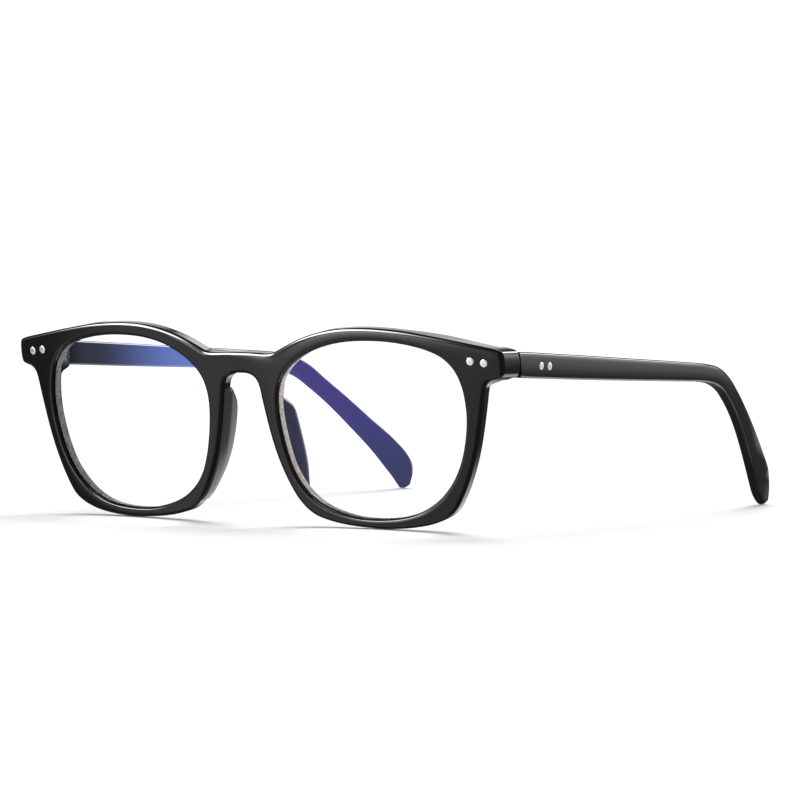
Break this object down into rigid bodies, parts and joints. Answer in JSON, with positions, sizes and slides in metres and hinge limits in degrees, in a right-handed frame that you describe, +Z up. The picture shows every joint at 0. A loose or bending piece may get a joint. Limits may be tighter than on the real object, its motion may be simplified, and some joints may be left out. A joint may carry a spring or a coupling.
{
  "type": "blue light glasses",
  "caption": "Square-shouldered black acetate glasses with clear blue-filter lenses, keyhole bridge, riveted hinges and folding temples.",
  "frame": {"origin": "middle of the footprint of the open glasses, on the surface they stand on", "axes": "+X towards the wearer's left, +Y back along the temples, +Z up; the glasses stand open on the rims' lower edges and the temple tips"},
  "size_m": [0.1422, 0.1435, 0.0466],
  "materials": {
    "black_acetate": "tumble-polished black cellulose acetate",
    "pad_acetate": "hand-polished black acetate, slightly softer gloss",
    "coated_lens": "clear resin with a blue-violet anti-reflective filter coating",
    "nickel_silver": "satin nickel silver",
    "polished_rivet": "polished flush with the acetate",
    "screw_steel": "bright stainless steel",
    "core_wire": "drawn nickel silver"
  },
  "bodies": {
    "front": {"front_frame": "black_acetate", "lens_left": "coated_lens", "lens_right": "coated_lens", "nose_pad_left": "pad_acetate", "nose_pad_right": "pad_acetate", "front_rivet_outer_left": "polished_rivet", "front_rivet_inner_left": "polished_rivet", "front_rivet_outer_right": "polished_rivet", "front_rivet_inner_right": "polished_rivet", "front_hinge_leaf_left": "nickel_silver", "front_hinge_leaf_right": "nickel_silver", "hinge_screw_left": "screw_steel", "hinge_screw_right": "screw_steel"},
    "temple_left_body": {"temple_left": "black_acetate", "temple_core_left": "core_wire", "temple_hinge_leaf_left": "nickel_silver", "temple_rivet_front_left": "polished_rivet", "temple_rivet_rear_left": "polished_rivet"},
    "temple_right_body": {"temple_right": "black_acetate", "temple_core_right": "core_wire", "temple_hinge_leaf_right": "nickel_silver", "temple_rivet_front_right": "polished_rivet", "temple_rivet_rear_right": "polished_rivet"}
  },
  "joints": [
    {"name": "fold_left", "type": "hinge", "parent": "front", "child": "temple_left_body", "pos_m": [0.0656, -0.05867, 0.0383], "axis": [0, -0.1392, 0.9903], "range_deg": [0, 86]},
    {"name": "fold_right", "type": "hinge", "parent": "front", "child": "temple_right_body", "pos_m": [-0.0656, -0.05867, 0.0383], "axis": [0, 0.1392, -0.9903], "range_deg": [0, 80.5]}
  ]
}
